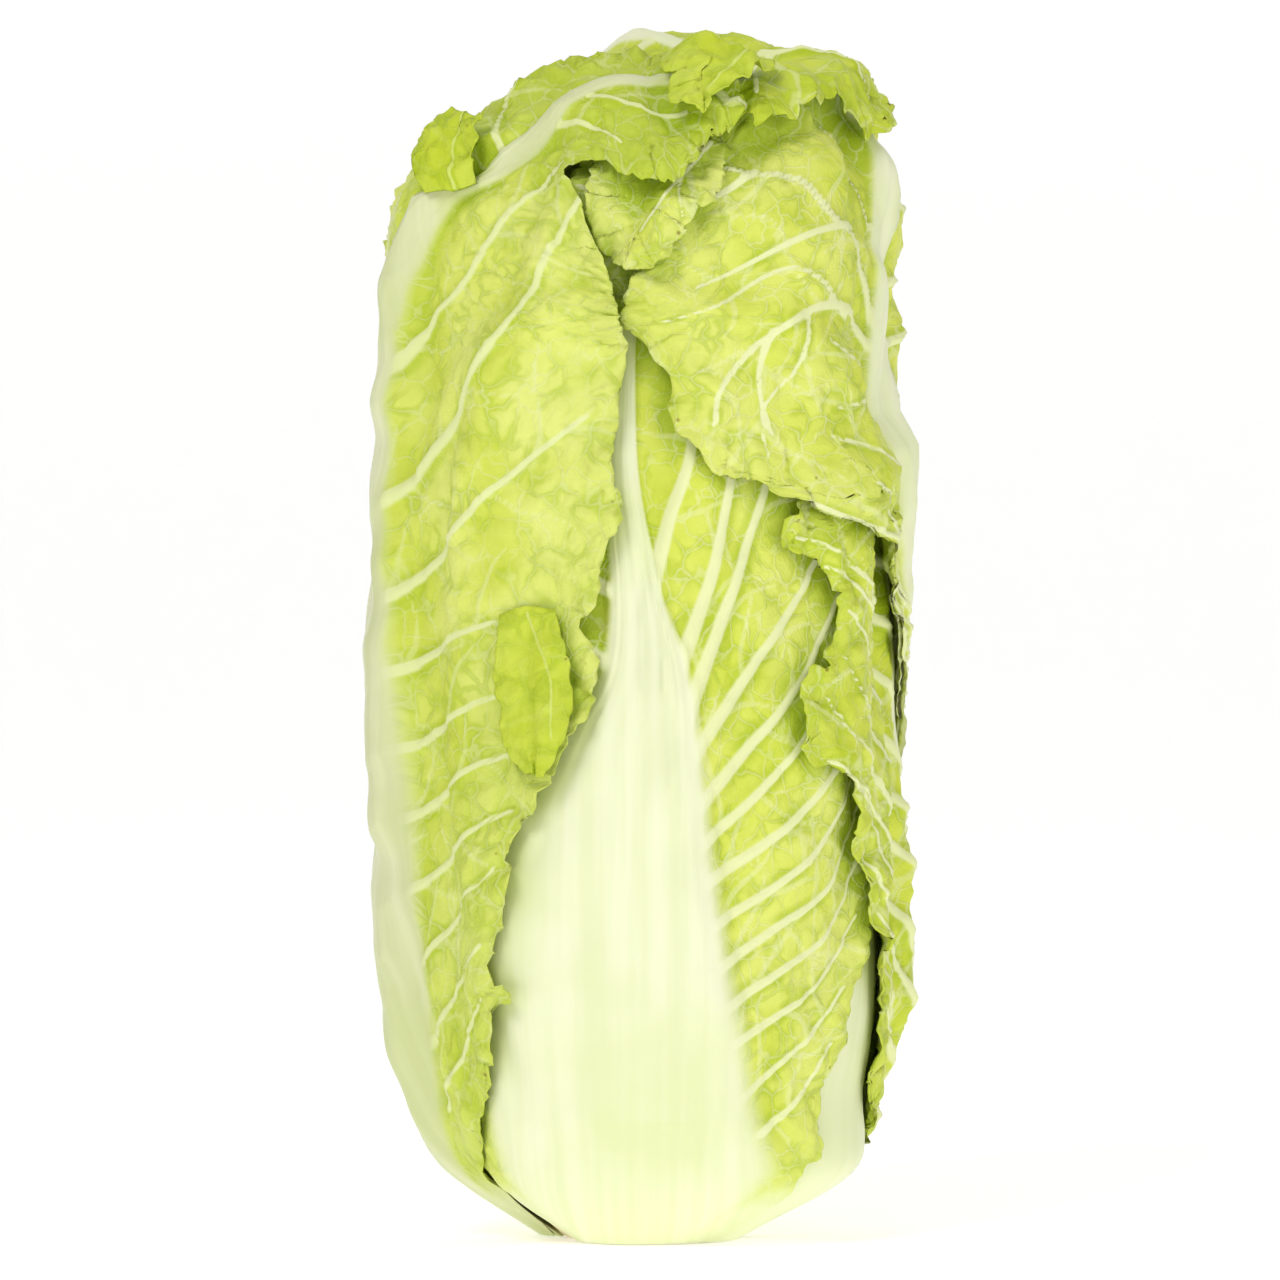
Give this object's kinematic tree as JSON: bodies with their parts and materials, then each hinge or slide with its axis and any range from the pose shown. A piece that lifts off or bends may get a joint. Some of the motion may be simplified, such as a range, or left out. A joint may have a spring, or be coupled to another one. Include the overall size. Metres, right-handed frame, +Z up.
{
  "type": "napa cabbage",
  "caption": "Whole head of napa cabbage: broad pale ribs and frilled green leaves wrapped over a packed heart, standing on its trimmed butt.",
  "frame": {"origin": "middle of the flat cut face of the stem, on the surface that the head stands on", "axes": "+Z up along the head, -Y towards the show side with the broad front rib, +X to the right of it"},
  "size_m": [0.1243, 0.123, 0.2816],
  "materials": {
    "cut_flesh": "matt, slightly dry cut flesh, cream with a tan rim",
    "heart_leaf": "satin crisp leaf, pale yellow green",
    "inner_leaf": "satin crisp leaf, blistered, yellow green with pale veins",
    "outer_leaf": "waxy satin leaf, creamy white rib and branching veins in a light green blade"
  },
  "bodies": {
    "root": {"stem": "cut_flesh", "heart": "heart_leaf", "leaf_inner_back": "inner_leaf", "leaf_inner_front": "inner_leaf", "leaf_back": "outer_leaf", "leaf_right_under": "outer_leaf", "leaf_front": "outer_leaf", "leaf_back_right": "outer_leaf", "leaf_back_left": "outer_leaf", "leaf_right_lower": "outer_leaf", "leaf_right_upper": "outer_leaf", "leaf_left": "outer_leaf"}
  },
  "joints": []
}
